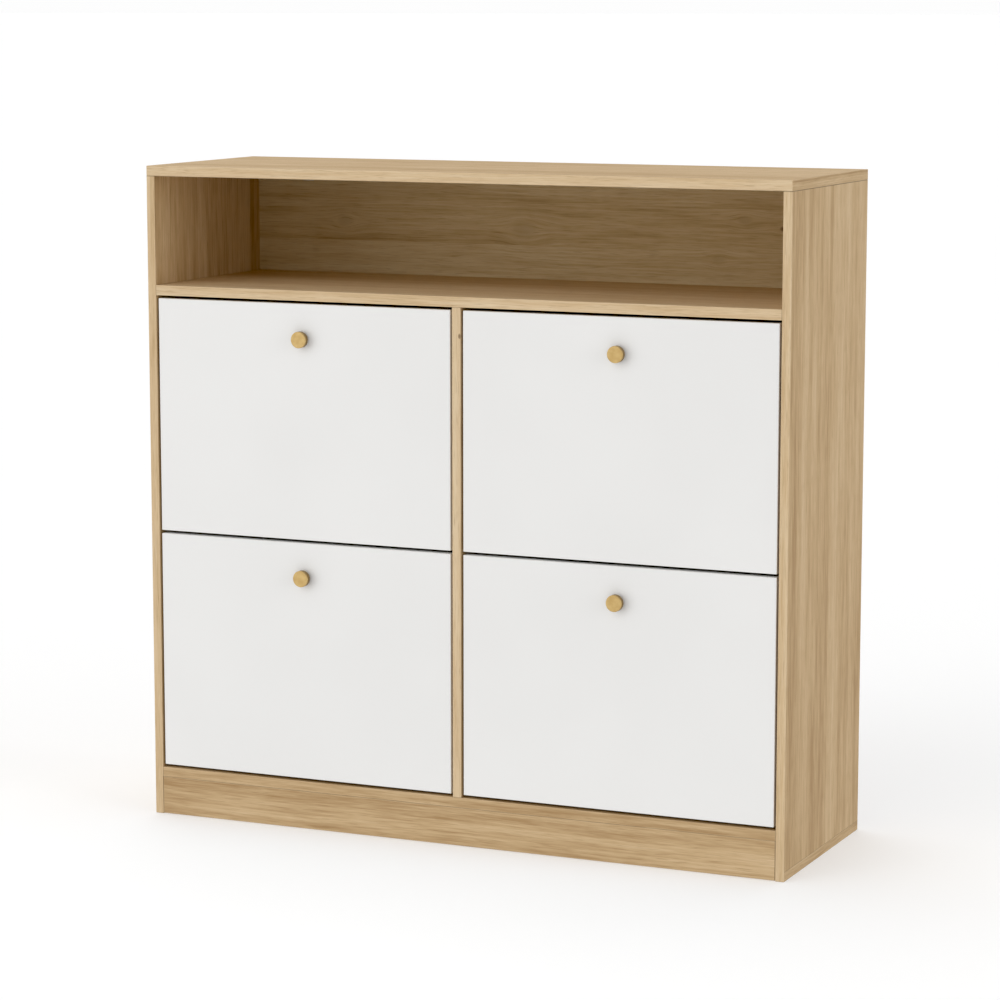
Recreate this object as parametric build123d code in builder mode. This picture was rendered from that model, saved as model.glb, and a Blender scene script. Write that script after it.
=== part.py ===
from build123d import *
import os
from math import cos, radians, tan

# Carcass: overall size, boards and lipping
width = 1000.0
depth = 330.0
height = 973.0
board = 15.0
upright = 13.0
arris = 0.6

# Heights of the carcass boards
plinth_height = 57.0
plinth_lift = 1.0
niche_height = 160.0
sole_height = 14.0
sole_lip = 2.0
plinth_shadow_gap = 0.4

# Back sheet and its rebate
sheet = 3.0
sheet_recess = 1.0
rebate_width = 6.5
sheet_play = 0.5

# Dowels, cam fittings and nails
dowel_radius = 3.95
dowel_long = 20.0
dowel_short = 9.0
dowel_blind = 8.0
dowel_inset = 45.0
shelf_dowel_inset = 30.0
socket_play = 0.05
socket_spare = 0.5
cam_radius = 7.4
cam_height = 12.0
cam_bore = 7.5
cam_setback = 24.0
cam_inset = 85.0
cam_slot_length = 9.0
cam_slot_width = 1.8
cam_slot_depth = 2.0
bolt_thread_radius = 2.5
bolt_thread_length = 8.0
bolt_collar_radius = 3.8
bolt_collar_length = 1.5
bolt_shaft_radius = 2.6
bolt_head_radius = 3.4
bolt_head_length = 3.5
bolt_reach = 21.5
bolt_bore = 4.0
bolt_spare = 1.0
nail_radius = 0.8
nail_length = 14.0
nail_head_radius = 2.2
nail_head = 0.8

# Fronts: gaps around them, thickness and edge rounding
reveal = 3.4
gap_low = 4.2
gap_middle = 4.6
gap_high = 4.3
gap_middle_centre = 430.5
front_inset = 1.5
front_thickness = 15.0
front_rounding = 1.0

# Knob and its screw
knob_drop = 51.5
knob_radius = 12.0
knob_head = 8.5
knob_neck = 3.5
knob_neck_radius = 6.0
knob_rim = 1.0
knob_back_edge = 0.6
knob_thread_depth = 9.0
knob_screw_radius = 1.95
knob_screw_grip = 7.5
knob_screw_head_radius = 4.0
knob_screw_head = 2.6
knob_hole = 2.25

# Bin pivot: behind the front's face and above its lower edge
pivot_setback = 20.0
pivot_rise = 80.0
pin_spigot_radius = 2.5
pin_spigot = 6.0
pin_collar_radius = 6.0
pin_collar = 1.2
journal_radius = 3.0
journal_play = 0.05
journal_spare = 1.0

# Moulded cheek: outline round the pivot and wall sizes
cheek_radius = 262.0
cheek_arc_low = 8.0
cheek_arc_high = 84.0
cheek_plate = 3.0
cheek_standoff = 6.0
cheek_rim_depth = 3.0
cheek_rim_wall = 2.5
cheek_corner = 5.0
flange_width = 22.0
flange_thickness = 3.5
flange_top = 240.0
flange_foot = -66.0
hub_radius = 9.0
hub_gap = 0.5
gusset_leg = 14.0
gusset_thickness = 2.0
gusset_heights = (-20.0, 90.0, 180.0)
spoke_angles = (30.0, 66.0)
spoke_width = 2.2

# Arc slot of the cheek, and the stop pin that rides in it
swing = 48.0
slot_radius = 243.0
slot_closed_angle = 80.0
slot_play = 0.4
slot_wall = 2.2
sleeve_radius = 4.5
stop_core_radius = 2.5
stop_end_play = 0.5

# Shoe tray of each bin: three boards held between ribs on the cheeks
tray_board = 6.0
tray_slope = 12.0
tray_floor_front = 0.0
tray_floor_drop = -55.0
tray_floor_length = 246.0
tray_floor_edge = 9.0
tray_floor_tail = 4.0
tray_divider_setback = 110.0
tray_divider_top = 195.0
tray_back_setback = 232.0
tray_back_top = 103.0
groove_play = 0.15
groove_rib = 2.4
groove_depth = 6.0
tray_end_play = 0.5

# Screws of the cheeks
screw_heights = (-45.0, 45.0, 135.0, 215.0)
screw_radius = 1.75
screw_head_radius = 3.5
screw_head = 2.4
screw_grip = 11.0
screw_hole = 2.0

# Wall brackets under the top, behind the niche's upper edge
bracket_spacing = 800.0
bracket_width = 18.0
bracket_steel = 2.0
bracket_drop = 20.0
bracket_reach = 32.0
bracket_bend = 1.5
bracket_hole = 2.75
bracket_hole_drop = 12.0
bracket_screw_spots = (12.0, 24.0)

# Places worked out from the sizes above; the origin is the middle of the footprint
knob_reach = knob_neck + knob_head - front_inset
front_y = (knob_reach - depth) / 2
back_y = front_y + depth
sheet_y = back_y - sheet_recess - sheet
inner_x = width / 2 - upright
bottom_top = plinth_height + board
top_z = height - board
shelf_top = top_z - niche_height
shelf_z = shelf_top - board
bay_width = inner_x - upright / 2
bay_x = (inner_x + upright / 2) / 2
front_width = bay_width - 2 * reveal
front_face_y = front_y + front_inset
front_rear_y = front_face_y + front_thickness
pivot_y = front_face_y + pivot_setback
wall = bay_width / 2

rows = {
    "lower": (bottom_top + gap_low, gap_middle_centre - gap_middle / 2),
    "upper": (gap_middle_centre + gap_middle / 2, shelf_z - gap_high),
}
columns = {"left": -1, "right": 1}


def save(piece, name):
    piece.part.label = name
    export_step(piece.part, f"parts/{name}.step")


def plank(x_span, y_span, z_span, rounding=arris):
    """A board with its edges lightly rounded."""
    with BuildPart() as block:
        with BuildSketch(Plane.XY.offset(z_span[0])):
            with Locations((sum(x_span) / 2, sum(y_span) / 2)):
                Rectangle(x_span[1] - x_span[0], y_span[1] - y_span[0])
        extrude(amount=z_span[1] - z_span[0])
        fillet(block.edges(), rounding)
    return block.part


def rounds(plane, spots, radius, amount, mode=Mode.ADD):
    """Round posts, or round holes with Mode.SUBTRACT, on a plane of the piece being built."""
    with BuildSketch(plane) as discs:
        with Locations(*spots):
            Circle(radius)
    extrude(discs.sketch, amount=amount, mode=mode)


def notch(plane, centre, size, amount):
    """A rectangular cut into the piece being built."""
    with BuildSketch(plane) as patch:
        with Locations(centre):
            Rectangle(*size)
    extrude(patch.sketch, amount=amount, mode=Mode.SUBTRACT)


def facing_x(x):
    """Plane across X, drawn in Y and Z."""
    return Plane.YZ.offset(x)


def facing_y(y):
    """Plane across Y, drawn in X and Z; amounts above zero run to the front."""
    return Plane.XZ.offset(-y)


def facing_z(z):
    """Plane across Z, drawn in X and Y."""
    return Plane.XY.offset(z)


# Dowelled joints: the joint plane, the dowels' places on it, and their reach on either side
dowel_rows = (front_y + dowel_inset, (front_y + sheet_y) / 2, sheet_y - dowel_inset)
shelf_dowel_rows = (front_y + shelf_dowel_inset, sheet_y - shelf_dowel_inset)
plinth_rows = (front_y + board / 2, sheet_y - board / 2)
plinth_dowel_spots = (-420.0, -210.0, 210.0, 420.0)
shelf_mid = shelf_z + board / 2
bottom_mid = plinth_height + board / 2
plinth_mid = plinth_height / 2

dowel_joints = {
    "divider_top": (facing_z(shelf_z), [(0, y) for y in dowel_rows], dowel_short, dowel_long),
    "divider_foot": (facing_z(bottom_top), [(0, y) for y in dowel_rows], dowel_long, dowel_short),
    "brace": (facing_z(plinth_height), [(0, y) for y in dowel_rows[1:2]], dowel_short, dowel_long),
}
for name, y in zip(("plinth_front", "plinth_rear"), plinth_rows):
    spots = [(x, y) for x in plinth_dowel_spots]
    dowel_joints[name] = (facing_z(plinth_height), spots, dowel_short, dowel_long)
for name, hand in columns.items():
    seam = facing_x(hand * inner_x)
    reach = (dowel_long, dowel_blind) if hand < 0 else (dowel_blind, dowel_long)
    top_spots = [(hand * (inner_x + upright / 2), y) for y in dowel_rows]
    dowel_joints["top_" + name] = (facing_z(top_z), top_spots, dowel_short, dowel_long)
    dowel_joints["shelf_" + name] = (seam, [(y, shelf_mid) for y in shelf_dowel_rows], *reach)
    dowel_joints["bottom_" + name] = (seam, [(y, bottom_mid) for y in shelf_dowel_rows], *reach)
    for board_name, y in zip(("plinth_front_", "plinth_rear_"), plinth_rows):
        dowel_joints[board_name + name] = (seam, [(y, plinth_mid)], *reach)


def sockets(joint, end):
    """Dowel holes of a joint; end is 1 for the board beyond its plane and -1 for the near one."""
    plane, spots, far, near = dowel_joints[joint]
    hole = far + socket_spare if end > 0 else -near - socket_spare
    rounds(plane, spots, dowel_radius + socket_play, hole, Mode.SUBTRACT)


# Cam fittings at both ends of the niche shelf and the bottom board
cam_rows = (front_y + cam_inset, sheet_y - cam_inset)
cam_levels = (shelf_z, plinth_height)


def cam_bores(level):
    """Cam bores from below and bolt bores from both ends of a board."""
    for hand in columns.values():
        cam_spots = [(hand * (inner_x - cam_setback), y) for y in cam_rows]
        bolt_spots = [(y, level + board / 2) for y in cam_rows]
        rounds(facing_z(level), cam_spots, cam_bore, cam_height + socket_spare, Mode.SUBTRACT)
        rounds(facing_x(hand * inner_x), bolt_spots, bolt_bore, -hand * cam_setback, Mode.SUBTRACT)


# Nails of the back sheet, by the board that they go into
nail_columns = (-350.0, -120.0, 120.0, 350.0)
nail_levels = (120.0, 300.0, 480.0, 660.0, 880.0)
nail_inset = rebate_width / 2
nail_spots = {
    "top": [(x, top_z + nail_inset) for x in nail_columns],
    "shelf": [(x, shelf_mid) for x in nail_columns],
    "bottom": [(x, bottom_mid) for x in nail_columns],
    "divider": [(0, z) for z in nail_levels[:4]],
    "side_left": [(-inner_x - nail_inset, z) for z in nail_levels],
    "side_right": [(inner_x + nail_inset, z) for z in nail_levels],
}


def nail_holes(board_name):
    rounds(facing_y(sheet_y), nail_spots[board_name], nail_radius, nail_length, Mode.SUBTRACT)


# Pivot and stop pins stand in the side panels and the divider at these heights
stop_offset = Vector(slot_radius, 0).rotate(Axis.Z, slot_closed_angle)
pin_spots = []
stop_spots = []
for low, high in rows.values():
    pin_spots.append((pivot_y, low + pivot_rise))
    stop_spots.append((pivot_y + stop_offset.X, low + pivot_rise + stop_offset.Y))


def pin_holes(x, amount):
    pin_hole = pin_spigot_radius + socket_play
    rounds(facing_x(x), pin_spots + stop_spots, pin_hole, amount, Mode.SUBTRACT)


os.makedirs("parts", exist_ok=True)

# Top panel, lying over both sides, rebated for the back sheet
bracket_x = [-bracket_spacing / 2, bracket_spacing / 2]
bracket_screw_places = [(x, sheet_y - y) for x in bracket_x for y in bracket_screw_spots]
bracket_screw_length = 12.0
with BuildPart() as top_panel:
    add(plank((-width / 2, width / 2), (front_y, back_y), (top_z, height)))
    rebate_size = (2 * (inner_x + rebate_width), 2 * (back_y - sheet_y))
    notch(facing_z(top_z), (0, back_y), rebate_size, rebate_width + sheet_play)
    sockets("top_left", 1)
    sockets("top_right", 1)
    nail_holes("top")
    rounds(facing_z(top_z), bracket_screw_places, screw_radius, bracket_screw_length, Mode.SUBTRACT)
save(top_panel, "top_panel")

# Side panels: a lip at the front runs down past the sole strip to the floor
for name, hand in columns.items():
    x_span = sorted((hand * inner_x, hand * width / 2))
    with BuildPart() as side_panel:
        add(plank(x_span, (front_y, back_y), (0, top_z)))
        rebate_size = (2 * rebate_width, 2 * (back_y - sheet_y))
        notch(facing_z(plinth_height), (hand * inner_x, back_y), rebate_size, top_z)
        foot_centre = (hand * (inner_x + upright / 2), front_y + sole_lip + depth / 2)
        notch(facing_z(0), foot_centre, (2 * upright, depth), sole_height)
        for joint in ("shelf_", "bottom_", "plinth_front_", "plinth_rear_"):
            sockets(joint + name, hand)
        sockets("top_" + name, -1)
        bolt_spots = [(y, level + board / 2) for y in cam_rows for level in cam_levels]
        bolt_depth = hand * (bolt_thread_length + socket_spare)
        bolt_hole = bolt_thread_radius + socket_play
        rounds(facing_x(hand * inner_x), bolt_spots, bolt_hole, bolt_depth, Mode.SUBTRACT)
        pin_holes(hand * inner_x, hand * (pin_spigot + socket_spare))
        nail_holes("side_" + name)
    save(side_panel, "side_panel_" + name)
    with BuildPart() as sole_strip:
        add(plank(x_span, (front_y + sole_lip, back_y), (0, sole_height)))
    save(sole_strip, "sole_strip_" + name)

# Niche shelf, bottom board and centre divider
with BuildPart() as niche_shelf:
    add(plank((-inner_x, inner_x), (front_y, sheet_y), (shelf_z, shelf_top)))
    sockets("shelf_left", 1)
    sockets("shelf_right", -1)
    sockets("divider_top", 1)
    cam_bores(shelf_z)
    nail_holes("shelf")
save(niche_shelf, "niche_shelf")

with BuildPart() as bottom_board:
    add(plank((-inner_x, inner_x), (front_y, sheet_y), (plinth_height, bottom_top)))
    sockets("bottom_left", 1)
    sockets("bottom_right", -1)
    sockets("divider_foot", -1)
    for joint in ("plinth_front", "plinth_rear", "brace"):
        sockets(joint, 1)
    cam_bores(plinth_height)
    nail_holes("bottom")
save(bottom_board, "bottom_board")

with BuildPart() as centre_divider:
    add(plank((-upright / 2, upright / 2), (front_y, sheet_y), (bottom_top, shelf_z)))
    sockets("divider_top", -1)
    sockets("divider_foot", 1)
    pin_holes(-upright / 2, upright)
    nail_holes("divider")
save(centre_divider, "centre_divider")

# Plinth: front and rear boards with a brace between them under the divider
plinth_x = inner_x - plinth_shadow_gap
plinth_z = (plinth_lift, plinth_height)
plinth_spans = {
    "plinth_front": (front_y, front_y + board),
    "plinth_rear": (sheet_y - board, sheet_y),
}
for name, y_span in plinth_spans.items():
    with BuildPart() as plinth:
        add(plank((-plinth_x, plinth_x), y_span, plinth_z))
        sockets(name, -1)
        sockets(name + "_left", 1)
        sockets(name + "_right", -1)
    save(plinth, name)

with BuildPart() as plinth_brace:
    add(plank((-upright / 2, upright / 2), (front_y + board, sheet_y - board), plinth_z))
    sockets("brace", -1)
save(plinth_brace, "plinth_brace")

# Back sheet, let into the rebates and nailed on
with BuildPart() as back_panel:
    sheet_half = inner_x + rebate_width - sheet_play
    sheet_low = plinth_height + sheet_play
    sheet_high = top_z + rebate_width
    with BuildSketch(facing_y(sheet_y + sheet)):
        with Locations((0, (sheet_low + sheet_high) / 2)):
            Rectangle(2 * sheet_half, sheet_high - sheet_low)
    extrude(amount=sheet)
    for spots in nail_spots.values():
        rounds(facing_y(sheet_y + sheet), spots, nail_radius, sheet, Mode.SUBTRACT)
    bracket_hole_z = top_z - bracket_hole_drop
    bracket_holes = [(x, bracket_hole_z) for x in bracket_x]
    rounds(facing_y(sheet_y + sheet), bracket_holes, bracket_hole, sheet, Mode.SUBTRACT)
save(back_panel, "back_panel")

with BuildPart() as back_nails:
    for spots in nail_spots.values():
        rounds(facing_y(sheet_y + sheet), spots, nail_radius, sheet + nail_length - socket_spare)
        rounds(facing_y(sheet_y + sheet), spots, nail_head_radius, -nail_head)
save(back_nails, "back_nails")

# Dowels, cam bolts and cam locks
with BuildPart() as dowels:
    for plane, spots, far, near in dowel_joints.values():
        rounds(plane.offset(-near), spots, dowel_radius, near + far)
save(dowels, "dowels")

bolt_steps = (
    (-bolt_thread_length, 0.0, bolt_thread_radius),
    (0.0, bolt_collar_length, bolt_collar_radius),
    (bolt_collar_length, bolt_reach - bolt_head_length, bolt_shaft_radius),
    (bolt_reach - bolt_head_length, bolt_reach, bolt_head_radius),
)
with BuildPart() as cam_bolts:
    for hand in columns.values():
        for level in cam_levels:
            spots = [(y, level + board / 2) for y in cam_rows]
            for start, end, radius in bolt_steps:
                rounds(facing_x(hand * (inner_x - start)), spots, radius, -hand * (end - start))
save(cam_bolts, "cam_bolts")

with BuildPart() as cam_locks:
    for hand in columns.values():
        cam_spots = [(hand * (inner_x - cam_setback), y) for y in cam_rows]
        for level in cam_levels:
            rounds(facing_z(level + socket_spare), cam_spots, cam_radius, cam_height - socket_spare)
            spots = [(y, level + board / 2) for y in cam_rows]
            bolt_room = -hand * (bolt_reach + bolt_spare)
            rounds(facing_x(hand * inner_x), spots, bolt_bore, bolt_room, Mode.SUBTRACT)
            for spot in cam_spots:
                face = facing_z(level + socket_spare)
                notch(face, spot, (cam_slot_length, cam_slot_width), cam_slot_depth)
                notch(face, spot, (cam_slot_width, cam_slot_length), cam_slot_depth)
save(cam_locks, "cam_locks")

# Pivot pins and stop pins, in pairs on both walls of each column
plate_outer = wall - cheek_standoff
plate_inner = plate_outer - cheek_plate
journal_end = plate_inner - groove_depth + journal_spare
walls = []
for column in columns.values():
    for hand in columns.values():
        walls.append((column * bay_x + hand * wall, hand))

with BuildPart() as pivot_pins:
    for x, hand in walls:
        rounds(facing_x(x), pin_spots, pin_spigot_radius, hand * pin_spigot)
        rounds(facing_x(x), pin_spots, pin_collar_radius, -hand * pin_collar)
        rounds(facing_x(x), pin_spots, journal_radius, -hand * (wall - journal_end))
save(pivot_pins, "pivot_pins")

stop_length = wall - plate_inner - stop_end_play
with BuildPart() as stop_pins:
    for x, hand in walls:
        rounds(facing_x(x), stop_spots, pin_spigot_radius, hand * pin_spigot)
        rounds(facing_x(x), stop_spots, pin_collar_radius, -hand * pin_collar)
        rounds(facing_x(x), stop_spots, stop_core_radius, -hand * stop_length)
save(stop_pins, "stop_pins")

with BuildPart() as stop_sleeves:
    for x, hand in walls:
        sleeve_plane = facing_x(x - hand * pin_collar)
        sleeve_length = -hand * (stop_length - pin_collar)
        rounds(sleeve_plane, stop_spots, sleeve_radius, sleeve_length)
        rounds(sleeve_plane, stop_spots, stop_core_radius, sleeve_length, Mode.SUBTRACT)
save(stop_sleeves, "stop_sleeves")

# Wall brackets: bent steel angles, one leg under the top and one on the back sheet
with BuildPart() as wall_brackets:
    for x in bracket_x:
        with BuildSketch(facing_x(x - bracket_width / 2)) as angle:
            with BuildLine():
                Polyline(
                    (sheet_y, top_z),
                    (sheet_y - bracket_reach, top_z),
                    (sheet_y - bracket_reach, top_z - bracket_steel),
                    (sheet_y - bracket_steel, top_z - bracket_steel),
                    (sheet_y - bracket_steel, top_z - bracket_drop),
                    (sheet_y, top_z - bracket_drop),
                    close=True,
                )
            make_face()
            bend = angle.vertices().sort_by_distance((sheet_y - bracket_steel, top_z - bracket_steel))
            fillet(bend[0], bracket_bend)
            heel = angle.vertices().sort_by_distance((sheet_y, top_z))
            fillet(heel[0], bracket_bend + bracket_steel)
        extrude(amount=bracket_width)
    rounds(facing_y(sheet_y), bracket_holes, bracket_hole, bracket_steel, Mode.SUBTRACT)
    rounds(facing_z(top_z), bracket_screw_places, screw_hole, -bracket_steel, Mode.SUBTRACT)
save(wall_brackets, "wall_brackets")

with BuildPart() as wall_bracket_screws:
    head_plane = facing_z(top_z - bracket_steel)
    shank = bracket_steel + bracket_screw_length - socket_spare
    rounds(head_plane, bracket_screw_places, screw_radius, shank)
    rounds(head_plane, bracket_screw_places, screw_head_radius, -screw_head)
save(wall_bracket_screws, "wall_bracket_screws")


# Bins: everything below is placed from the pivot, as a setback behind it and a height above it
rear_setback = front_rear_y - pivot_y
flange_setback = rear_setback + flange_thickness
tray_half = plate_inner - tray_end_play
hub_inner = plate_inner - groove_depth
hub_outer = wall - pin_collar - hub_gap


def floor_top(setback):
    """Height of the sloping tray floor's upper face at a setback behind the pivot."""
    rise = (setback - tray_floor_front) * tan(radians(tray_slope))
    return tray_floor_drop + rise + tray_board / 2 / cos(radians(tray_slope))


# Tray boards seen from the side: centre, slope and length of each
floor_run = Vector(tray_floor_length, 0).rotate(Axis.Z, tray_slope)
floor_start = Vector(tray_floor_front, tray_floor_drop)
tray_sections = {"tray_floor": (floor_start + floor_run / 2, tray_slope, tray_floor_length)}
upright_boards = {
    "tray_divider": (tray_divider_setback, tray_divider_top),
    "tray_back": (tray_back_setback, tray_back_top),
}
for name, (setback, top) in upright_boards.items():
    foot = floor_top(setback + tray_board / 2) + groove_play
    tray_sections[name] = (Vector(setback, (foot + top) / 2), 90.0, top - foot)


# Cheek outline: a sector about the pivot, straight along the front and under the tray floor
floor_under = Vector(0, -tray_floor_edge).rotate(Axis.Z, tray_slope)
floor_tail = Vector(tray_floor_tail, 0).rotate(Axis.Z, tray_slope)
with BuildSketch() as cheek_outline:
    with BuildLine():
        rim = CenterArc((0, 0), cheek_radius, cheek_arc_low, cheek_arc_high - cheek_arc_low)
        Polyline(
            rim @ 1,
            (rear_setback, flange_top),
            (rear_setback, flange_foot),
            floor_start + floor_under,
            floor_start + floor_run + floor_tail + floor_under,
            rim @ 0,
        )
    make_face()
    corners = cheek_outline.vertices().filter_by_position(Axis.X, gusset_leg, cheek_radius)
    fillet(corners, cheek_corner)

stop_guide = CenterArc((0, 0), slot_radius, slot_closed_angle - swing, swing)
slot_width = 2 * (sleeve_radius + slot_play)


def tray_board_at(section, extra_length=0.0, extra_width=0.0, mode=Mode.ADD):
    """Section of a tray board, grown where a groove goes round it."""
    centre, slope, length = section
    with Locations(Location((centre.X, centre.Y, 0), (0, 0, slope))):
        Rectangle(length + extra_length, tray_board + extra_width, mode=mode)


def build_cheek(centre_x, pivot_z, hand):
    """Moulded cheek on the wall to which hand points: plate, rim, hub, flange, grooves and arc slot."""

    def section(offset_x):
        origin = (centre_x + hand * offset_x, pivot_y, pivot_z)
        return Plane(origin=origin, x_dir=(0, 1, 0), z_dir=(1, 0, 0))

    with BuildPart() as cheek:
        with BuildSketch(section(plate_inner)):
            add(cheek_outline.sketch)
        extrude(amount=hand * cheek_plate)

        # Rim round the outline, wall round the slot, and spokes from the hub
        with BuildSketch(section(plate_outer)):
            add(cheek_outline.sketch)
            offset(amount=-cheek_rim_wall, mode=Mode.SUBTRACT)
            SlotArc(stop_guide, slot_width + 2 * slot_wall)
            for angle in spoke_angles:
                spoke = Vector(slot_radius / 2, 0).rotate(Axis.Z, angle)
                with Locations(Location((spoke.X, spoke.Y, 0), (0, 0, angle))):
                    Rectangle(slot_radius, spoke_width)
        extrude(amount=hand * cheek_rim_depth)

        # Hub, flat where it meets the front panel
        with BuildSketch(section(hub_inner)):
            Circle(hub_radius)
            with Locations((rear_setback - hub_radius, 0)):
                Rectangle(2 * hub_radius, 2 * hub_radius, mode=Mode.SUBTRACT)
        extrude(amount=hand * (hub_outer - hub_inner))

        # Flange behind the front panel, with gussets to the plate
        with BuildSketch(section(plate_inner)):
            with Locations((rear_setback, flange_foot)):
                Rectangle(flange_thickness, flange_top - flange_foot, align=(Align.MIN, Align.MIN))
        extrude(amount=-hand * flange_width)
        corner = Vector(centre_x + hand * plate_inner, pivot_y + flange_setback)
        for gusset_height in gusset_heights:
            with BuildSketch(facing_z(pivot_z + gusset_height)):
                with BuildLine():
                    Polyline(
                        corner,
                        corner + Vector(-hand * gusset_leg, 0),
                        corner + Vector(0, gusset_leg),
                        close=True,
                    )
                make_face()
            extrude(amount=gusset_thickness)

        # Ribs that hold the edges of the tray boards
        with BuildSketch(section(plate_inner)):
            for board_section in tray_sections.values():
                rib_room = 2 * (groove_play + groove_rib)
                tray_board_at(board_section, rib_room, rib_room)
            for board_section in tray_sections.values():
                tray_board_at(board_section, 2 * groove_play, 2 * groove_play, Mode.SUBTRACT)
        extrude(amount=-hand * groove_depth)

        # Bore for the pivot pin, arc slot for the stop pin, screw holes in the flange
        with BuildSketch(section(hub_inner)):
            Circle(journal_radius + journal_play)
            SlotArc(stop_guide, slot_width)
        extrude(amount=hand * (wall - hub_inner), mode=Mode.SUBTRACT)
        rounds(
            facing_y(pivot_y + flange_setback),
            screw_places(centre_x, pivot_z, hand),
            screw_hole,
            flange_thickness,
            Mode.SUBTRACT,
        )
    return cheek


def screw_places(centre_x, pivot_z, hand):
    """Screws of one cheek, in X and Z."""
    x = centre_x + hand * (plate_inner - flange_width / 2)
    return [(x, pivot_z + screw_height) for screw_height in screw_heights]


def build_knob(centre_x, knob_z):
    """Turned knob: a flat disc on a short neck, bored for its screw."""
    outward = Plane(origin=(centre_x, front_face_y, knob_z), x_dir=(0, -1, 0), z_dir=(-1, 0, 0))
    with BuildPart() as knob:
        with BuildSketch(outward) as profile:
            with BuildLine():
                Polyline(
                    (0, 0),
                    (0, knob_neck_radius),
                    (knob_neck, knob_neck_radius),
                    (knob_neck, knob_radius),
                    (knob_neck + knob_head, knob_radius),
                    (knob_neck + knob_head, 0),
                    close=True,
                )
            make_face()
            rims = profile.vertices().group_by(Axis.Y)[-1].sort_by(Axis.X)
            chamfer(rims[0], knob_back_edge)
            fillet(rims[-1], knob_rim)
        revolve(axis=Axis((centre_x, front_face_y, knob_z), (0, -1, 0)))
        bore = [(centre_x, knob_z)]
        rounds(facing_y(front_face_y), bore, knob_screw_radius, knob_thread_depth, Mode.SUBTRACT)
    return knob


for row, (low, high) in rows.items():
    pivot_z = low + pivot_rise
    knob_z = high - knob_drop
    for column, side in columns.items():
        place = f"{row}_{column}"
        centre_x = side * bay_x
        knob_spot = [(centre_x, knob_z)]
        screw_spots = screw_places(centre_x, pivot_z, -1) + screw_places(centre_x, pivot_z, 1)

        # Front panel with its knob
        with BuildPart() as front:
            x_span = (centre_x - front_width / 2, centre_x + front_width / 2)
            add(plank(x_span, (front_face_y, front_rear_y), (low, high), front_rounding))
            rounds(facing_y(front_rear_y), knob_spot, knob_hole, front_thickness, Mode.SUBTRACT)
            screw_depth = screw_grip + socket_spare
            rounds(facing_y(front_rear_y), screw_spots, screw_radius, screw_depth, Mode.SUBTRACT)
        save(front, "front_" + place)
        save(build_knob(centre_x, knob_z), "knob_" + place)
        with BuildPart() as knob_screw:
            rounds(facing_y(front_rear_y), knob_spot, knob_screw_radius, front_thickness + knob_screw_grip)
            rounds(facing_y(front_rear_y), knob_spot, knob_screw_head_radius, -knob_screw_head)
        save(knob_screw, "knob_screw_" + place)

        # Cheeks: the outer one runs beside the side panel, the inner one beside the divider
        save(build_cheek(centre_x, pivot_z, side), "cheek_outer_" + place)
        save(build_cheek(centre_x, pivot_z, -side), "cheek_inner_" + place)
        with BuildPart() as cheek_screws:
            head_plane = facing_y(pivot_y + flange_setback)
            rounds(head_plane, screw_spots, screw_radius, flange_thickness + screw_grip)
            rounds(head_plane, screw_spots, screw_head_radius, -screw_head)
        save(cheek_screws, "cheek_screws_" + place)

        # Tray boards between the cheeks
        tray_end = (centre_x - tray_half, pivot_y, pivot_z)
        tray_plane = Plane(origin=tray_end, x_dir=(0, 1, 0), z_dir=(1, 0, 0))
        for name, section in tray_sections.items():
            with BuildPart() as tray_piece:
                with BuildSketch(tray_plane):
                    tray_board_at(section)
                extrude(amount=2 * tray_half)
                fillet(tray_piece.edges().filter_by(Axis.X), arris)
            save(tray_piece, f"{name}_{place}")
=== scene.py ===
import math

import bmesh
import bpy
from mathutils import Matrix, Vector


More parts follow.
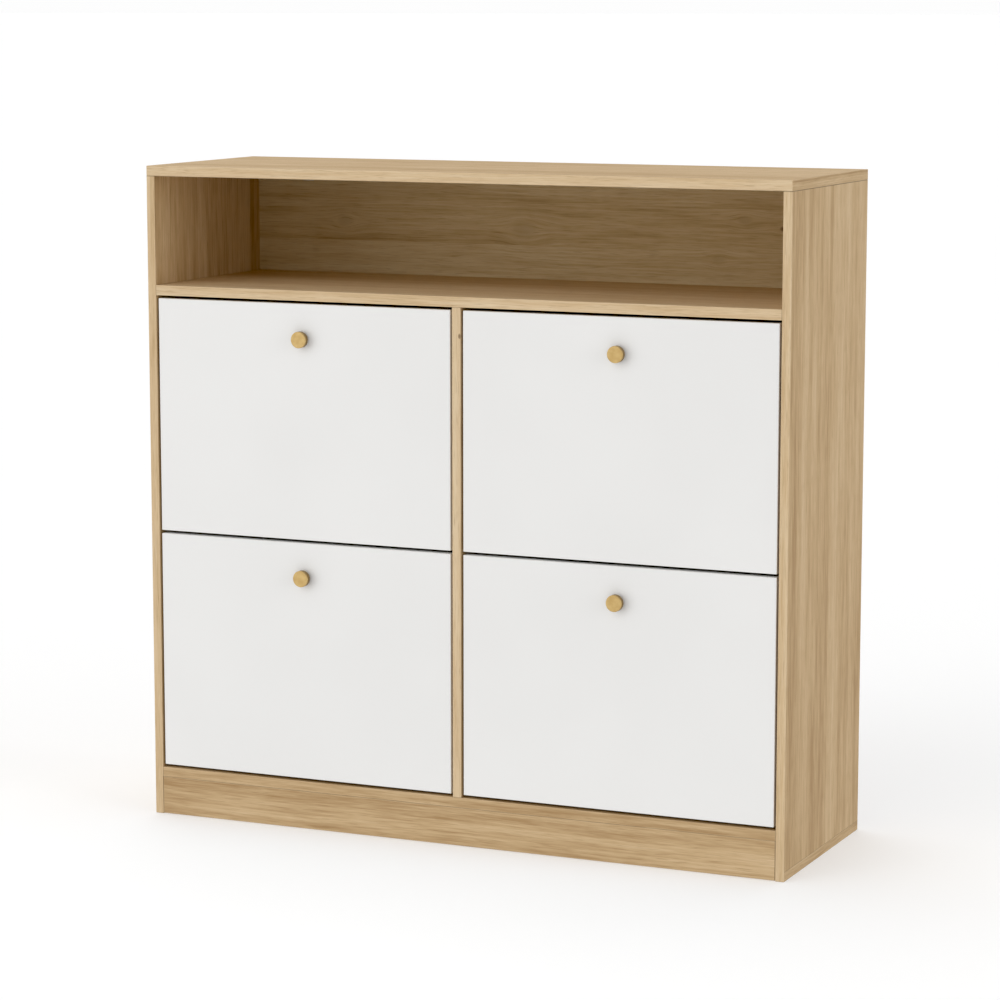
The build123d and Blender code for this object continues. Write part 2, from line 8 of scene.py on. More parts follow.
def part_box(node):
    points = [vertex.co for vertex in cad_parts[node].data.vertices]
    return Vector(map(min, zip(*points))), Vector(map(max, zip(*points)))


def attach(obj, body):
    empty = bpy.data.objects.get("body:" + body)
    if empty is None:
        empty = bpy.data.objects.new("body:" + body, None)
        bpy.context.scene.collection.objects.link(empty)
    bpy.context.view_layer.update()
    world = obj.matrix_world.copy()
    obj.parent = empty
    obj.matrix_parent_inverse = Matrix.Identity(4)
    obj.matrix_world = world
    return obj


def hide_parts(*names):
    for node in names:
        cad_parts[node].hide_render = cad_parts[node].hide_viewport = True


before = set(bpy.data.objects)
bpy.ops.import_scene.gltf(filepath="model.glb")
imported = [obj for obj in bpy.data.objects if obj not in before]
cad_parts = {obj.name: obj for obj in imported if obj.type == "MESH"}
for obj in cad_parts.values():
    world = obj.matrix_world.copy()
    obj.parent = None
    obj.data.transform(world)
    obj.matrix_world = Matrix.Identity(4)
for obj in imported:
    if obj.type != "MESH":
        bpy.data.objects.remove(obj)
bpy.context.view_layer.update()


# Side panels: two upright chipboard panels faced with oak foil, the grain running up.
# Their front edges are lipped in the same oak, and the rear edges are left bare,
# rebated for the back sheet. Each stands on a sole strip with its grain lying down.
class Wire:
    """A socket in a material. Sums and products of wires add Math nodes, node() adds any other."""

    def __init__(self, tree, socket=None):
        self.tree = tree
        self.socket = socket

    def node(self, kind, settings, sockets, output=0):
        made = self.tree.nodes.new("ShaderNode" + kind)
        for name, value in settings.items():
            if name == "stops":
                ramp = made.color_ramp.elements
                ramp[0].position, ramp[0].color = value[0]
                ramp[1].position, ramp[1].color = value[-1]
                for place, colour in value[1:-1]:
                    ramp.new(place).color = colour
            else:
                setattr(made, name, value)
        for place, value in sockets.items():
            if isinstance(value, Wire):
                self.tree.links.new(value.socket, made.inputs[place])
            else:
                made.inputs[place].default_value = value
        return Wire(self.tree, made.outputs[output])

    def math(self, operation, *values):
        return self.node("Math", {"operation": operation}, dict(enumerate(values)))

    def __add__(self, other):
        return self.math("ADD", self, other)

    def __radd__(self, other):
        return self.math("ADD", other, self)

    def __sub__(self, other):
        return self.math("SUBTRACT", self, other)

    def __rsub__(self, other):
        return self.math("SUBTRACT", other, self)

    def __mul__(self, other):
        return self.math("MULTIPLY", self, other)

    def __rmul__(self, other):
        return self.math("MULTIPLY", other, self)

    def __truediv__(self, other):
        return self.math("DIVIDE", self, other)

    def __rtruediv__(self, other):
        return self.math("DIVIDE", other, self)

    def __abs__(self):
        return self.math("ABSOLUTE", self)

    def ease(self, start, end):
        """0 before start, 1 after end, soft between; start may be the larger."""
        settings = {"interpolation_type": "SMOOTHSTEP"}
        return self.node("MapRange", settings, {0: self, 1: start, 2: end, 3: 0.0, 4: 1.0})

    def spread(self):
        """Soft noise stretched to run from 0 to 1."""
        return self.ease(0.3, 0.7)

    def tint(self, first, second):
        """From the first colour where this wire is 0 to the second where it is 1."""
        return self.node("Mix", {"data_type": "RGBA"}, {0: self, 6: first, 7: second}, output=2)

    def cloud(self, x, y, z, detail):
        """Soft noise, mostly between 0.3 and 0.7, at a point given by its three coordinates."""
        point = self.node("CombineXYZ", {}, {0: x, 1: y, 2: z})
        return self.node("TexNoise", {}, {"Vector": point, "Scale": 1.0, "Detail": detail})

    def speckle(self, axes, pace, detail):
        """Soft noise that is alike in every direction, with so many waves to a metre."""
        return self.cloud(*(axes[letter] * pace for letter in "xyz"), detail)

    def grained(self, run, line, through, pace, fineness, detail):
        """Soft noise drawn out along the grain, its waves to a metre given along and across."""
        return self.cloud(run * pace, line * fineness, through * fineness, detail)

    def relief(self, distance, strength):
        """This wire as a height in the surface, for a Normal socket."""
        return self.node("Bump", {}, {"Height": self, "Distance": distance, "Strength": strength})

    def feed(self, shader, socket):
        self.tree.links.new(self.socket, shader.inputs[socket])


def blank_finish(name):
    """A new material, a wire to draw on, its shader and the three coordinates of the surface."""
    material = bpy.data.materials.new(name)
    material.use_nodes = True
    shader = material.node_tree.nodes["Principled BSDF"]
    paint = Wire(material.node_tree)
    place = paint.node("TexCoord", {}, {}, "Object")
    axes = {letter: paint.node("SeparateXYZ", {}, {0: place}, letter.upper()) for letter in "xyz"}
    return material, paint, shader, axes


def dress(material, *nodes):
    """Gives CAD nodes a finish."""
    for node in nodes:
        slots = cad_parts[node].data.materials
        slots.clear()
        slots.append(material)


def from_edge(paint, axes, node):
    """Distance of a surface point from the nearest edge of a board, in metres."""
    low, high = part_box(node)
    depths = []
    for letter, least, most in zip("xyz", low, high):
        depths.append((most - least) / 2 - abs(axes[letter] - (least + most) / 2))
    first, second, third = depths
    nearer = paint.math("MINIMUM", first, second)
    further = paint.math("MAXIMUM", first, second)
    return paint.math("MAXIMUM", nearer, paint.math("MINIMUM", further, third))


oak_tones = (
    (0.10, (0.400, 0.252, 0.120, 1.0)),
    (0.40, (0.580, 0.410, 0.228, 1.0)),
    (0.60, (0.660, 0.488, 0.294, 1.0)),
    (0.90, (0.745, 0.587, 0.388, 1.0)),
)
# Waves to a metre along and across the grain, and fineness of detail. The first three make up the
# tone and also have their share in it.
oak_layers = {
    "bands": (0.8, 16.0, 2.0, 0.85),
    "streaks": (7.0, 105.0, 3.0, 0.62),
    "fibres": (20.0, 520.0, 2.0, 0.50),
}
oak_sway = (1.3, 6.0, 2.0)
oak_swell = (1.7, 30.0, 1.0)
oak_pores = (34.0, 1300.0, 1.0)
oak_pore = (0.30, 0.185, 0.080, 1.0)
oak_knot = (0.13, 0.065, 0.025, 1.0)
oak_rubbed = (0.70, 0.54, 0.34, 1.0)
oak_roughness = 0.56
oak_gloss = 0.16
knot_stretch = 1.7
knot_push = 0.9
heart_start = 0.5
heart_full = 0.02
stave_jump = 3.0
stave_contrast = 0.16
seam_half = 0.0008
seam_dark = 0.12
sway_reach = 0.026
ring_slant = 0.6
year_pace = 1050.0
year_drift = 9.0
year_share = 0.05
pore_start = 0.58
pore_full = 0.70
pore_dark = 0.40
lip_start = 0.0009
lip_full = 0.0005
wear_start = 0.0016
wear_full = 0.0003
wear_patches = 60.0
wear_pale = 0.6
# A fine dark line along a board's named ends: dust where two boards meet, painted contact shade
# where an end stands on the floor.
joint_dust_and_contact_shade = (0.085, 0.052, 0.024, 1.0)
dust_and_shade_start = 0.0010
dust_and_shade_full = 0.0004
dust_and_shade_dark = 0.5
chip_tones = ((0.50, 0.375, 0.235, 1.0), (0.63, 0.500, 0.340, 1.0))
chip_size = 0.0022
bare_skin = 0.0004
bare_roughness = 0.88
bare_relief = 3.0
patch_share = 0.45


def oak(name, node, grain, shift, stave, tone_and_shade=0.0, lips=None, joints="", knots=(), bare=None,
        tones=oak_tones):
    """Oak foil on one board. Grain names the axes along, across and through it, and shift slides
    the pattern along the log. Lips gives the tone of lipped edges, y in front and x at the ends.
    Joint and floor ends names the ends that get a fine dark line, small letters for the low end:
    dust where an end meets another board, painted contact shade where an end stands on the floor.
    A knot has a place along, across and through, a size and a darkness. Bare is the depth, flake
    size and tones of a core that shows from behind. Tones run from the darkest wood to the
    lightest."""
    lips = lips or {}
    material, paint, shader, axes = blank_finish(name)
    low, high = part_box(node)
    along, across, through = (axes[letter] for letter in grain)
    hearts = []
    bulges = []
    for *place, size, dark in knots:
        before = (along - place[0]) / (size * knot_stretch)
        beside = (across - place[1]) / size
        within = (through - place[2]) / size
        reach = before * before + beside * beside + within * within
        bulges.append(paint.math("EXPONENT", 0.0 - reach) * beside * (knot_push * size))
        hearts.append(reach.ease(heart_start, heart_full) * dark)
    if "x" in lips:
        on_end = abs(axes["x"]).ease(high.x - lip_start, high.x - lip_full)
        along = along + on_end * (axes["y"] - along)
        across = across + on_end * (axes["z"] - across)

    staves = across / stave + shift
    number = paint.math("FLOOR", staves)
    pick = paint.node("TexWhiteNoise", {"noise_dimensions": "1D"}, {"W": number})
    seam = abs(paint.math("FRACT", staves) - 0.5).ease(0.5 - seam_half / stave, 0.5)
    run = along + pick * stave_jump + shift
    sway = paint.grained(run, across, through, *oak_sway) - 0.5
    line = across + through * ring_slant + sway * sway_reach
    for push in bulges:
        line = line - push

    layers = {}
    shade = 0.5 + tone_and_shade
    for layer, (*waves, share) in oak_layers.items():
        layers[layer] = paint.grained(run, line, through, *waves) - 0.5
        shade = shade + layers[layer] * share
    swell = paint.grained(run, line, through, *oak_swell)
    ring = paint.math("SINE", line * year_pace + swell * year_drift) * swell.ease(0.35, 0.65)
    pores = paint.grained(run, line, through, *oak_pores).ease(pore_start, pore_full)
    shade = shade + ring * year_share + (pick - 0.5) * stave_contrast - seam * seam_dark
    if "x" in lips:
        shade = shade + on_end * (lips["x"] - tone_and_shade)
    if "y" in lips:
        on_front = axes["y"].ease(low.y + lip_start, low.y + lip_full)
        shade = shade + on_front * (lips["y"] - tone_and_shade)

    colour = paint.node("ValToRGB", {"stops": tones}, {0: shade})
    colour = (pores * pore_dark).tint(colour, oak_pore)
    for heart in hearts:
        colour = heart.tint(colour, oak_knot)
    edge = from_edge(paint, axes, node)
    worn = edge.ease(wear_start, wear_full) * paint.speckle(axes, pace=wear_patches, detail=3.0)
    colour = (worn * wear_pale).tint(colour, oak_rubbed)
    # Along each named end a fine dark line: dust in a joint between boards, painted contact shade
    # at the floor.
    for end in joints:
        letter = end.lower()
        corner = low if end == letter else high
        close = abs(axes[letter] - getattr(corner, letter)).ease(dust_and_shade_start, dust_and_shade_full)
        dust_and_shade = close * edge.ease(dust_and_shade_start, dust_and_shade_full) * dust_and_shade_dark
        colour = dust_and_shade.tint(colour, joint_dust_and_contact_shade)
    roughness = oak_roughness + layers["fibres"] * 0.20 + pores * 0.14 - worn * 0.10
    height = layers["fibres"] * 0.5 + layers["streaks"] * 0.3 - pores * 0.5
    if bare:
        bare_y, flake, core_tones = bare
        behind = axes["y"].ease(bare_y - bare_skin / 2, bare_y + bare_skin / 2)
        flakes = [axes[letter] / flake for letter in "xyz"]
        chips = paint.cloud(flakes[0] * 0.5, flakes[1], flakes[2], 3.0)
        patch = paint.cloud(axes["x"] * 4.0, axes["y"] * 4.0, axes["z"] * 7.0, 4.0) - 0.5
        core = (chips + patch * patch_share).ease(0.34, 0.66).tint(*core_tones)
        colour = behind.tint(colour, core)
        roughness = roughness + behind * (bare_roughness - roughness)
        height = height + behind * (chips * bare_relief - height)
    colour.feed(shader, "Base Color")
    roughness.feed(shader, "Roughness")
    height.relief(distance=0.0003, strength=0.35).feed(shader, "Normal")
    shader.inputs["Specular IOR Level"].default_value = oak_gloss
    return material


def chip_core(node):
    """The bare chipboard that shows on a board's rear edge."""
    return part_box(node)[1].y - bare_skin, chip_size, chip_tones


upright_stave = 0.083
sole_stave = 0.10
sole_shift = 4.0
# The right panel and its sole strip take a darker tone than the left's: the extra darkness is
# painted shade on the side away from the light.
for hand, shift, tone_and_shade, lip in (("left", 2.37, -0.08, 0.10), ("right", 1.81, -0.14, 0.20)):
    panel = "side_panel_" + hand
    strip = "sole_strip_" + hand
    core = chip_core(panel)
    panel_oak = oak("oak_side_" + hand, panel, "zyx", shift, upright_stave, tone_and_shade,
                    lips={"y": lip}, joints="zZ", bare=core)
    dress(panel_oak, panel)
    # The sole strip's low end stands on the floor and gets painted contact shade; its top end gets
    # dust at the joint.
    strip_oak = oak("oak_sole_" + hand, strip, "yzx", shift + sole_shift, sole_stave, tone_and_shade,
                    joints="zZ", bare=core)
    dress(strip_oak, strip)

# Bottom board and plinth: the board under both columns of bins, dowelled down onto a plinth of
# two long boards with a short brace between them. A darker run of the same foil.
board_stave = 0.11
plinth_stave = 0.20
plinth_tone = -0.22
core = chip_core("bottom_board")
for name, node, grain, shift, stave, joints, bare in (
    ("oak_bottom", "bottom_board", "xyz", 2.23, board_stave, "xXz", core),
    # The plinth front's low end stands on the floor and gets painted contact shade.
    ("oak_plinth_front", "plinth_front", "xzy", 5.35, plinth_stave, "xXz", None),
    ("oak_plinth_rear", "plinth_rear", "xzy", 6.7, plinth_stave, "", core),
    ("oak_brace", "plinth_brace", "yzx", 7.9, plinth_stave, "", None),
):
    dress(oak(name, node, grain, shift, stave, plinth_tone, joints=joints, bare=bare), node)

# Centre divider: an upright panel between the two columns of bins, dowelled into the boards
# above and below it. Its lipped front edge has one small dark knot near the top.
divider_low, divider_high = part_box("centre_divider")
knot_z = divider_high.z - 0.041
knot_x = divider_high.x - 0.001
knot_size = 0.004
knot_dark = 0.8
divider_knots = [(knot_z, divider_low.y, knot_x, knot_size, knot_dark)]
divider_oak = oak("oak_divider", "centre_divider", "zyx", shift=3.3, stave=upright_stave, tone_and_shade=0.10,
                  lips={"y": 0.29}, joints="zZ", knots=divider_knots)
dress(divider_oak, "centre_divider")

# Niche shelf: the floor of the open niche and the roof of the upper bins, held to the sides by
# cam fittings and dowels. Oak foil on both faces, lipped at the front.
shelf_oak = oak("oak_shelf", "niche_shelf", "xyz", shift=8.4, stave=board_stave, tone_and_shade=0.15,
                lips={"y": 0.03}, joints="xX")
dress(shelf_oak, "niche_shelf")

# Top panel: lies over both sides and runs out flush with them. Lipped in oak on the front and
# both ends, where the grain follows the edge, and bare chipboard behind.
top_oak = oak("oak_top", "top_panel", "xyz", shift=9.6, stave=0.09, lips={"x": -0.08, "y": 0.15},
              joints="z", bare=chip_core("top_panel"))
dress(top_oak, "top_panel")

# Back sheet: thin hardboard let into the rebates and nailed on. Its face towards the niche is
# printed with oak staves lying down, a little yellower than the boards, and a few small knots;
# the rear is bare brown fibre.
sheet_low, sheet_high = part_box("back_panel")
fibre_tones = ((0.20, 0.115, 0.055, 1.0), (0.31, 0.19, 0.10, 1.0))
fibre_size = 0.0009
fibre_core = ((sheet_low.y + sheet_high.y) / 2, fibre_size, fibre_tones)
sheet_knots = [
    (-0.036, 0.871, sheet_low.y, 0.022, 0.12),
    (0.376, 0.884, sheet_low.y, 0.007, 0.80),
    (0.315, 0.895, sheet_low.y, 0.012, 0.15),
    (0.275, 0.836, sheet_low.y, 0.012, 0.10),
    (-0.338, 0.878, sheet_low.y, 0.014, 0.15),
]
sheet_tones = (
    (0.10, (0.400, 0.272, 0.130, 1.0)),
    (0.40, (0.580, 0.443, 0.246, 1.0)),
    (0.60, (0.660, 0.527, 0.318, 1.0)),
    (0.90, (0.745, 0.634, 0.419, 1.0)),
)
sheet_oak = oak("oak_back", "back_panel", "xzy", shift=6.532, stave=0.063, knots=sheet_knots,
                bare=fibre_core, tones=sheet_tones)
dress(sheet_oak, "back_panel")

# Dowels: plain beech pegs glued deep into the end of one board and a little way into the face of
# the next. Out of sight once the cabinet is built.
beech_tones = ((0.50, 0.32, 0.18, 1.0), (0.66, 0.47, 0.30, 1.0))
beech, paint, shader, axes = blank_finish("beech")
fleck = paint.cloud(axes["x"] * 180.0, axes["y"] * 900.0, axes["z"] * 180.0, 3.0)
fleck.ease(0.35, 0.65).tint(*beech_tones).feed(shader, "Base Color")
(0.55 + fleck * 0.2).feed(shader, "Roughness")
fleck.relief(distance=0.0002, strength=0.4).feed(shader, "Normal")
dress(beech, "dowels")

# Cam bolts, cam locks and nails: zinc-plated steel and die-cast zinc, dull and a little mottled.
# The cams lie in blind bores under the shelf and bottom board; the nails hold the back sheet.
zinc_tones = ((0.50, 0.51, 0.53, 1.0), (0.68, 0.68, 0.67, 1.0))
zinc, paint, shader, axes = blank_finish("zinc_plate")
mottle = paint.speckle(axes, pace=420.0, detail=3.0)
scuff = paint.cloud(axes["x"] * 2600.0, axes["y"] * 300.0, axes["z"] * 2600.0, 1.0)
mottle.spread().tint(*zinc_tones).feed(shader, "Base Color")
(0.26 + mottle * 0.2 + scuff * 0.1).feed(shader, "Roughness")
(mottle * 0.4 + scuff).relief(distance=0.00008, strength=0.4).feed(shader, "Normal")
shader.inputs["Metallic"].default_value = 1.0
dress(zinc, "cam_bolts", "cam_locks", "back_nails")

# Pivot pins and stop pins: turned steel pins pressed into the sides and the divider. A rubber
# sleeve on each stop pin runs in the arc slot of a bin's cheek and quiets the stop.
dress(zinc, "pivot_pins", "stop_pins")
rubber_tones = ((0.018, 0.018, 0.019, 1.0), (0.036, 0.035, 0.034, 1.0))
rubber, paint, shader, axes = blank_finish("sleeve_rubber")
bloom = paint.speckle(axes, pace=300.0, detail=3.0)
bloom.spread().tint(*rubber_tones).feed(shader, "Base Color")
(0.66 + bloom * 0.24).feed(shader, "Roughness")
bloom.relief(distance=0.0001, strength=0.4).feed(shader, "Normal")
dress(rubber, "stop_sleeves")

# Wall brackets: bent steel angles under the rear of the top, one leg against the back sheet
# with a hole for a wall screw. Two pan-head wood screws hold each bracket up to the top.
dress(zinc, "wall_brackets")

# Shares of a screw's radius and head that shape it, and the steps that its round parts are cut in
head_profile = ((0.0, 1.0), (0.66, 1.0), (0.87, 0.84), (1.0, 0.45), (1.0, 0.0))
head_facets = 20
cross_reach = 0.54
cross_half = 0.13
cross_depth = 0.66
cross_taper = 0.55
thread_root = 0.74
thread_crest = 0.99
thread_bite = 0.94
thread_foot = 0.30
thread_flat = 0.06
thread_facets = 12
thread_lead = 1.5
same_level = 1e-6
same_cut = 1e-7
screw_twist = 0.9
screw_crease = 32.0
sort_line = Vector((1.0, math.sqrt(2.0), math.sqrt(3.0)))


def flat_top(shape, level):
    """The faces of a shape that lie at its top level, with their edges and corners."""
    faces = []
    for face in shape.faces:
        if min(corner.co.z for corner in face.verts) > level - same_level:
            faces.append(face)
    edges = dict.fromkeys(edge for face in faces for edge in face.edges)
    corners = dict.fromkeys(corner for face in faces for corner in face.verts)
    return faces, [*faces, *edges, *corners]


def turned_screw(length, radius, point, tip, pitch, head_radius, head_height):
    """A screw standing on its seat at the origin, the head above it and the shank below. Its faces
    are sorted along a slanting line, because the operators leave them in another order each run."""
    shape = bmesh.new()
    core = radius * thread_root
    outline = [(head_radius * out, head_height * up) for out, up in head_profile]
    outline += [(core, 0.0), (core, point - length), (tip, -length), (0.0, -length)]
    corners = [shape.verts.new((reach, 0.0, level)) for reach, level in outline]
    edges = [shape.edges.new(pair) for pair in zip(corners, corners[1:])]
    turned = {"cent": (0.0, 0.0, 0.0), "axis": (0.0, 0.0, 1.0)}
    bmesh.ops.spin(shape, geom=corners + edges, angle=math.tau, steps=head_facets, use_merge=True,
                   **turned)
    bmesh.ops.remove_doubles(shape, verts=shape.verts, dist=same_level)
    bmesh.ops.dissolve_faces(shape, faces=flat_top(shape, head_height)[0])

    arm_length = head_radius * cross_reach
    arm_half = head_radius * cross_half
    for line in (-arm_length, -arm_half, arm_half, arm_length):
        for across in ((1.0, 0.0, 0.0), (0.0, 1.0, 0.0)):
            place = Vector(across) * line
            top = flat_top(shape, head_height)[1]
            bmesh.ops.bisect_plane(shape, geom=top, dist=same_cut, plane_co=place, plane_no=across)
    recess = []
    for face in flat_top(shape, head_height)[0]:
        nearer, further = sorted(abs(part) for part in face.calc_center_median().xy)
        if nearer < arm_half and further < arm_length:
            recess.append(face)
    sunk = bmesh.ops.extrude_face_region(shape, geom=recess)["geom"]
    sunk = [part for part in sunk if isinstance(part, bmesh.types.BMVert)]
    bmesh.ops.delete(shape, geom=recess, context="FACES")
    bmesh.ops.translate(shape, verts=sunk, vec=(0.0, 0.0, -cross_depth * head_height))
    bmesh.ops.scale(shape, verts=sunk, vec=(cross_taper, cross_taper, 1.0))

    run = length - point - pitch * thread_lead
    steps = round(thread_facets * run / pitch)
    bite = core * thread_bite
    crest = radius * thread_crest
    tooth = (
        (bite, -thread_foot), (crest, -thread_flat), (crest, thread_flat), (bite, thread_foot),
    )
    ridge = [shape.verts.new((reach, 0.0, (level - 0.5) * pitch)) for reach, level in tooth]
    bmesh.ops.spin(shape, geom=[shape.faces.new(ridge), *ridge], steps=steps,
                   angle=steps * math.tau / thread_facets, dvec=(0.0, 0.0, -pitch / thread_facets),
                   **turned)
    bmesh.ops.recalc_face_normals(shape, faces=shape.faces)
    shape.faces.sort(key=lambda face: face.calc_center_median().dot(sort_line))
    mesh = bpy.data.meshes.new("turned_screw")
    shape.to_mesh(mesh)
    shape.free()
    return mesh


def drive_screws(node, body, screw, seats, way):
    """Puts a screw on each seat, its head facing the given way, in place of a plain CAD node."""
    shape = bmesh.new()
    facing = Vector(way).to_track_quat("Z", "Y").to_matrix().to_4x4()
    for number, seat in enumerate(seats):
        done = len(shape.verts)
        shape.from_mesh(screw)
        shape.verts.ensure_lookup_table()
        swing = Matrix.Rotation(screw_twist * number, 4, "Z")
        place = Matrix.Translation(seat) @ facing @ swing
        bmesh.ops.transform(shape, matrix=place, verts=shape.verts[done:])
    mesh = bpy.data.meshes.new(node + "_turned")
    shape.to_mesh(mesh)
    shape.free()
    mesh.shade_smooth()
    mesh.set_sharp_from_angle(angle=math.radians(screw_crease))
    mesh.materials.append(zinc)
    piece = bpy.data.objects.new(node + "_turned", mesh)
    bpy.context.scene.collection.objects.link(piece)
    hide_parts(node)
    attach(piece, body)


wood_head = 0.0024
wood_head_radius = 0.0035
wood_screw = {
    "radius": 0.00175,
    "point": 0.0035,
    "tip": 0.0,
    "pitch": 0.0016,
    "head_radius": wood_head_radius,
    "head_height": wood_head,
}
low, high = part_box("wall_bracket_screws")
head_z = low.z + wood_head
bracket_screw = turned_screw(high.z - head_z, **wood_screw)
seats = []
for x in (low.x + wood_head_radius, high.x - wood_head_radius):
    for y in (low.y + wood_head_radius, high.y - wood_head_radius):
        seats.append((x, y, head_z))
drive_screws("wall_bracket_screws", "carcass", bracket_screw, seats, (0.0, 0.0, -1.0))

# Bin cheeks: moulded charcoal plastic sectors, a pair to each bin, with a spark-eroded skin
# and a polished band where the stop pin's sleeve rubs along the arc slot.
charcoal_tones = ((0.047, 0.048, 0.051, 1.0), (0.060, 0.061, 0.064, 1.0))
charcoal_rubbed = (0.085, 0.086, 0.089, 1.0)
slot_radius = 0.243
rub_start = 0.0090
rub_full = 0.0060
rub_pale = 0.5
pin_low, pin_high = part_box("pivot_pins")
pin_radius = (pin_high.y - pin_low.y) / 2
pivot_heights = {"upper": pin_high.z - pin_radius, "lower": pin_low.z + pin_radius}
for row, pivot_z in pivot_heights.items():
    plastic, paint, shader, axes = blank_finish("cheek_plastic_" + row)
    backward = axes["y"] - (pin_low.y + pin_radius)
    upward = axes["z"] - pivot_z
    from_slot = abs(paint.math("SQRT", backward * backward + upward * upward) - slot_radius)
    rubbed = from_slot.ease(rub_start, rub_full)
    pebble = paint.speckle(axes, pace=1900.0, detail=2.0)
    flow = paint.cloud(axes["x"] * 9.0, axes["y"] * 14.0, axes["z"] * 14.0, 3.0)
    charcoal = flow.spread().tint(*charcoal_tones)
    (rubbed * rub_pale).tint(charcoal, charcoal_rubbed).feed(shader, "Base Color")
    (0.44 + pebble * 0.2 + flow * 0.08 - rubbed * 0.22).feed(shader, "Roughness")
    (pebble * (1.0 - rubbed * 0.8)).relief(distance=0.00015, strength=0.35).feed(shader, "Normal")
    for column in ("left", "right"):
        place = row + "_" + column
        dress(plastic, "cheek_outer_" + place, "cheek_inner_" + place)

# Tray boards: three thin fibreboards to a bin, held in the cheeks' ribs, that the shoes stand
# and lean on. White foil is folded over the faces and the upper edges.
foil_tones = ((0.66, 0.655, 0.64, 1.0), (0.72, 0.715, 0.70, 1.0))
tray, paint, shader, axes = blank_finish("tray_foil")
haze = paint.speckle(axes, pace=5.0, detail=3.0)
dimple = paint.speckle(axes, pace=700.0, detail=2.0)
haze.spread().tint(*foil_tones).feed(shader, "Base Color")
(0.40 + dimple * 0.16).feed(shader, "Roughness")
dimple.relief(distance=0.0001, strength=0.25).feed(shader, "Normal")
places = [row + "_" + column for row in ("upper", "lower") for column in ("left", "right")]
for place in places:
    dress(tray, "tray_floor_" + place, "tray_divider_" + place, "tray_back_" + place)

# Fronts: fibreboard sprayed in white satin lacquer, edges eased, screwed to the cheeks' flanges
# from behind with four wood screws a side. The lacquer has a faint orange peel and rubs thin
# along the edges.
lacquer_tones = ((0.835, 0.828, 0.812, 1.0), (0.855, 0.848, 0.832, 1.0))
lacquer_thin = (0.72, 0.70, 0.66, 1.0)
thin_start = 0.0015
thin_full = 0.0002
thin_share = 0.25
screw_steps = (0.0, 0.090, 0.180, 0.260)
for place in places:
    front = "front_" + place
    lacquer, paint, shader, axes = blank_finish("lacquer_" + place)
    haze = paint.speckle(axes, pace=4.0, detail=2.0)
    peel = paint.speckle(axes, pace=420.0, detail=1.0)
    worn = from_edge(paint, axes, front).ease(thin_start, thin_full)
    white = haze.spread().tint(*lacquer_tones)
    (worn * thin_share).tint(white, lacquer_thin).feed(shader, "Base Color")
    (0.36 + peel * 0.08 + haze * 0.06 + worn * 0.1).feed(shader, "Roughness")
    peel.relief(distance=0.00006, strength=0.25).feed(shader, "Normal")
    dress(lacquer, front)

    low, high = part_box("cheek_screws_" + place)
    head_y = high.y - wood_head
    front_screw = turned_screw(head_y - low.y, **wood_screw)
    seats = []
    for x in (low.x + wood_head_radius, high.x - wood_head_radius):
        for step in screw_steps:
            seats.append((x, head_y, low.z + wood_head_radius + step))
    drive_screws("cheek_screws_" + place, "bin_" + place, front_screw, seats, (0.0, 1.0, 0.0))

# Knobs: brass turned from the bar and brushed satin, with fine rings on the face. The side and
# neck behind the face are painted darker, as painted shade. Each has a short neck, and a machine
# screw through the front holds it.
brass_tones = ((0.50, 0.340, 0.139, 1.0), (0.576, 0.415, 0.187, 1.0))
brass_side_shade = (0.26, 0.165, 0.062, 1.0)
side_shade_start = 0.0008
side_shade_full = 0.0020
side_shade_dark = 0.75
ring_pace = 5200.0
brass, paint, shader, axes = blank_finish("satin_brass")
knob_low, knob_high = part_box("knob_upper_right")
knob_x = (knob_low.x + knob_high.x) / 2
knob_heights = []
for row in ("upper", "lower"):
    low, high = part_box("knob_" + row + "_right")
    knob_heights.append((low.z + high.z) / 2)
sideways = abs(axes["x"]) - knob_x
upward = paint.math("MINIMUM", *(abs(axes["z"] - height) for height in knob_heights))
radius = paint.math("SQRT", sideways * sideways + upward * upward)
turning = paint.cloud(radius * ring_pace, axes["y"] * ring_pace, 0.0, 2.0)
patina = paint.speckle(axes, pace=130.0, detail=3.0)
bright = patina.spread().tint(*brass_tones)
# Behind the face the brass is painted darker: painted shade on the knob's side and neck.
shaded_side = axes["y"].ease(knob_low.y + side_shade_start, knob_low.y + side_shade_full)
(shaded_side * side_shade_dark).tint(bright, brass_side_shade).feed(shader, "Base Color")
(0.30 + turning * 0.12 + patina * 0.10).feed(shader, "Roughness")
turning.relief(distance=0.00003, strength=0.3).feed(shader, "Normal")
shader.inputs["Metallic"].default_value = 1.0
knob_head = 0.0026
machine_screw = {
    "radius": 0.00195,
    "point": 0.0006,
    "tip": 0.0011,
    "pitch": 0.0007,
    "head_radius": 0.0040,
    "head_height": knob_head,
}
for place in places:
    dress(brass, "knob_" + place)
    low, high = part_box("knob_screw_" + place)
    head_y = high.y - knob_head
    knob_screw = turned_screw(head_y - low.y, **machine_screw)
    seats = [((low.x + high.x) / 2, head_y, (low.z + high.z) / 2)]
    drive_screws("knob_screw_" + place, "bin_" + place, knob_screw, seats, (0.0, 1.0, 0.0))

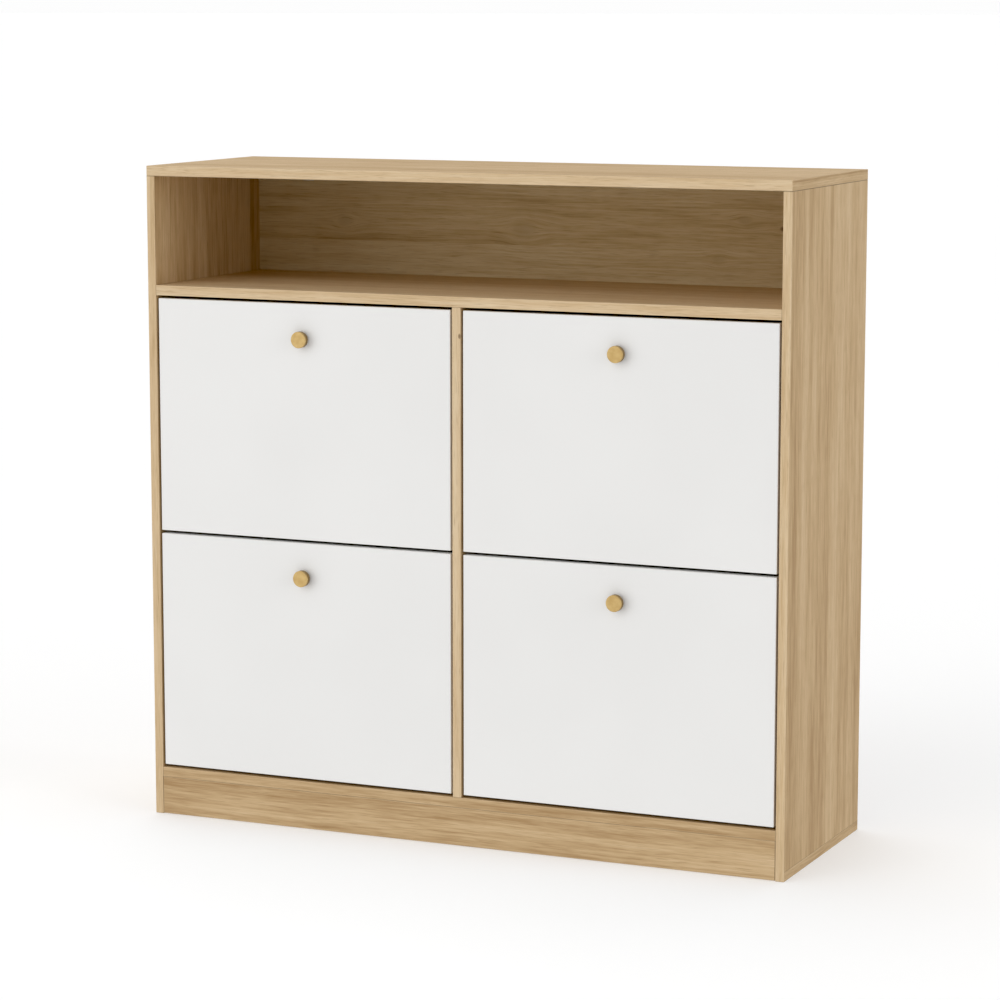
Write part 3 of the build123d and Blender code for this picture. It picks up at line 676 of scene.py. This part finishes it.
# Floor: a plain, pale, seamless studio floor that glows a little, so that it stays near white.
# The dome below gives the light that it throws back, so it is left out of the bounces.
floor_reach = 300.0
paper_grey = 0.66
paper_roughness = 0.9
paper_glow = 0.369
floor_mesh = bpy.data.meshes.new("studio_floor")
shape = bmesh.new()
bmesh.ops.create_grid(shape, x_segments=1, y_segments=1, size=floor_reach)
shape.to_mesh(floor_mesh)
shape.free()
floor = bpy.data.objects.new("studio_floor", floor_mesh)
floor.visible_diffuse = False
floor.visible_shadow = False
bpy.context.scene.collection.objects.link(floor)
paper, _, shader, _ = blank_finish("studio_paper")
shader.inputs["Base Color"].default_value = (paper_grey, paper_grey, paper_grey, 1.0)
shader.inputs["Roughness"].default_value = paper_roughness
shader.inputs["Specular IOR Level"].default_value = 0.0
shader.inputs["Emission Color"].default_value = (1.0, 1.0, 1.0, 1.0)
shader.inputs["Emission Strength"].default_value = paper_glow
floor_mesh.materials.append(paper)

# Light: a dim studio dome and four broad soft lights: overhead, in front, low on the left, where
# it reaches into the niche, and on the right. The dome's lower half is the light off the floor,
# and a white backdrop is all that the camera sees of it.
world = bpy.data.worlds.new("studio_dome")
bpy.context.scene.world = world
world.use_nodes = True
dome = world.node_tree.nodes["Background"]
sky = Wire(world.node_tree)
heading = sky.node("TexCoord", {}, {}, "Generated")
rise = sky.node("SeparateXYZ", {}, {0: heading}, "Z")
backdrop = 0.985
level = backdrop
for base, slope, first, last in (
    (0.33, (-0.10, -0.10, 0.15), 0.005, 0.03),
    (0.40, (-0.10, -0.10, -0.75), -0.005, -0.03),
):
    tilt = sky.node("VectorMath", {"operation": "DOT_PRODUCT"}, {0: heading, 1: slope}, "Value")
    level = level + rise.ease(first, last) * (base + tilt - backdrop)
level = level + sky.node("LightPath", {}, {}, "Is Camera Ray") * (backdrop - level)
white = sky.node("CombineColor", {}, {0: level, 1: level, 2: level})
white.feed(dome, "Color")

for name, strength, spread, source in (
    ("overhead_light", 1.12, 46.0, Vector((-0.12, 0.27, 0.95))),
    ("front_light", 0.41, 40.0, Vector((-0.28, -0.72, 0.64))),
    ("left_light", 0.85, 50.0, Vector((-0.76, -0.64, 0.10))),
    ("right_light", 1.04, 44.0, Vector((0.96, -0.10, 0.20))),
):
    lamp = bpy.data.lights.new(name, "SUN")
    lamp.energy = strength
    lamp.angle = math.radians(spread)
    light = bpy.data.objects.new(name, lamp)
    light.rotation_euler = source.to_track_quat("Z", "Y").to_euler()
    bpy.context.scene.collection.objects.link(light)
black = 0.012
look = bpy.context.scene.view_settings
look.view_transform = "Standard"
look.use_curve_mapping = True
look.curve_mapping.black_level = (black, black, black)

# Camera: a long lens at the photograph's viewing angle, looking down a little from the right.
# It has no shift, so that the other views stay centred.
look_down = 8.48
look_left = 23.99
lens = bpy.data.cameras.new("camera")
lens.sensor_width = 36.0
lens.lens = 120.5
camera = bpy.data.objects.new("camera", lens)
camera.location = (1.9787, -4.4529, 1.2120)
camera.rotation_euler = (math.radians(90.0 - look_down), 0.0, math.radians(look_left))
bpy.context.scene.collection.objects.link(camera)
bpy.context.scene.camera = camera
